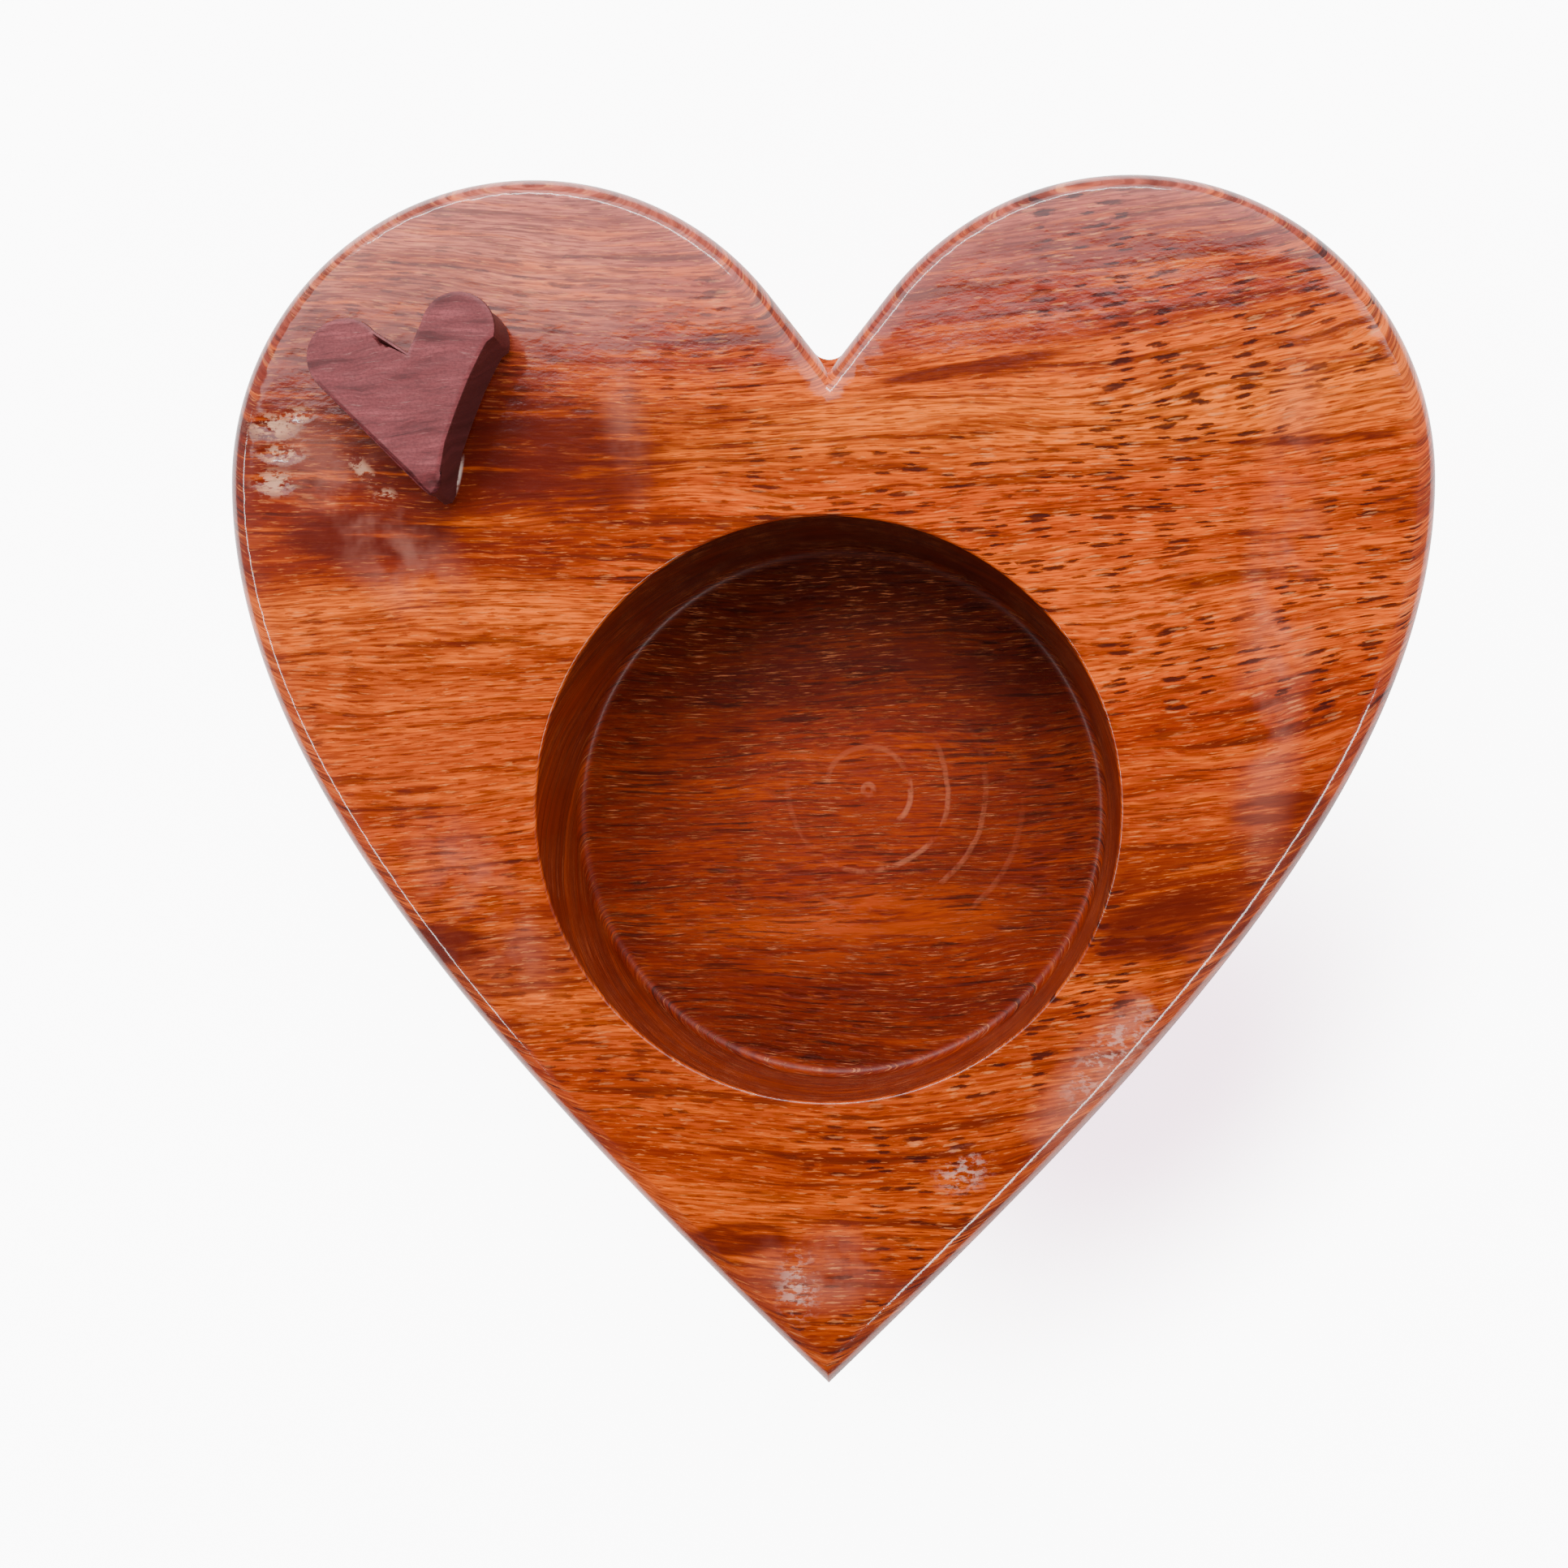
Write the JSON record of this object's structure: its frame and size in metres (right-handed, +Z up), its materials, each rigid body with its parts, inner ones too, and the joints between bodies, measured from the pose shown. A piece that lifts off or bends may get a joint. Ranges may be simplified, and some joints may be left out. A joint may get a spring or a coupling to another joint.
{
  "type": "wind-up music box",
  "caption": "Heart-shaped lacquered wooden music box with a round keepsake well in its top and a small heart-shaped winding knob on one lobe.",
  "frame": {"origin": "on the table, under the middle of the heart's outline", "axes": "+Z up, +Y from the heart's tip towards its notch, +X towards the lobe without the knob"},
  "size_m": [0.125, 0.125, 0.0534],
  "materials": {
    "case_wood": "clear gloss lacquer over a reddish-brown close-pored hardwood",
    "knob_wood": "dark purple-brown hardwood, satin",
    "cover_wood": "plain plywood panel, oiled",
    "brass": "turned brass",
    "steel": "bright ground steel",
    "cast_metal": "bare zinc alloy casting",
    "spring_steel": "blued spring steel",
    "foot_pad": "matt soft pad",
    "fan_plastic": "moulded plastic"
  },
  "bodies": {
    "case": {"case_body": "case_wood", "bottom_cover": "cover_wood", "arbor_bushing": "brass", "comb": "steel", "bedplate": "cast_metal", "arbor_bracket": "cast_metal", "governor_bracket": "cast_metal", "wrap_spring": "spring_steel", "cover_screw_1": "brass", "cover_screw_2": "brass", "cover_screw_3": "brass", "cover_screw_4": "brass", "cover_screw_5": "brass", "foot_1": "foot_pad", "bracket_screw_1": "steel", "movement_screw_1": "steel", "foot_2": "foot_pad", "bracket_screw_2": "steel", "movement_screw_2": "steel", "foot_3": "foot_pad", "bracket_screw_3": "steel", "movement_screw_3": "steel", "comb_screw_1": "steel", "comb_screw_2": "steel"},
    "winder": {"winding_knob": "knob_wood", "knob_insert": "brass", "arbor_extension": "steel", "winding_arbor": "steel"},
    "barrel": {"great_wheel": "brass", "spring_barrel": "brass", "barrel_cover": "brass", "mainspring": "spring_steel"},
    "cylinder": {"pin_cylinder": "brass", "cylinder_arbor": "steel", "cylinder_pinion": "brass", "cylinder_wheel": "brass"},
    "governor": {"governor_arbor": "steel", "governor_pinion": "steel", "worm_wheel": "brass"},
    "air_brake": {"worm_shaft": "steel", "fan": "fan_plastic"}
  },
  "joints": [
    {"name": "winding_knob_turn", "type": "hinge", "parent": "case", "child": "winder", "pos_m": [-0.0412, 0.0378, 0.0484], "axis": [0, 0, -1], "range_deg": [0, 1890]},
    {"name": "cylinder_turn", "type": "hinge", "parent": "case", "child": "cylinder", "pos_m": [-0.02564, 0.02224, 0.018], "axis": [0.7071, -0.7071, 0], "continuous": true},
    {"name": "barrel_turn", "type": "hinge", "parent": "case", "child": "barrel", "pos_m": [-0.0412, 0.0378, 0.018], "axis": [0, 0, -1], "continuous": true},
    {"name": "governor_turn", "type": "hinge", "parent": "case", "child": "governor", "pos_m": [-0.01072, 0.01878, 0.018], "axis": [0.7071, -0.7071, 0], "continuous": true},
    {"name": "air_brake_turn", "type": "hinge", "parent": "case", "child": "air_brake", "pos_m": [-0.00528, 0.02253, 0.018], "axis": [0, 0, -1], "continuous": true}
  ],
  "couplings": [
    {"joint": "barrel_turn", "follows": "cylinder_turn", "ratio": 0.25},
    {"joint": "governor_turn", "follows": "cylinder_turn", "ratio": -3},
    {"joint": "air_brake_turn", "follows": "cylinder_turn", "ratio": -60}
  ]
}
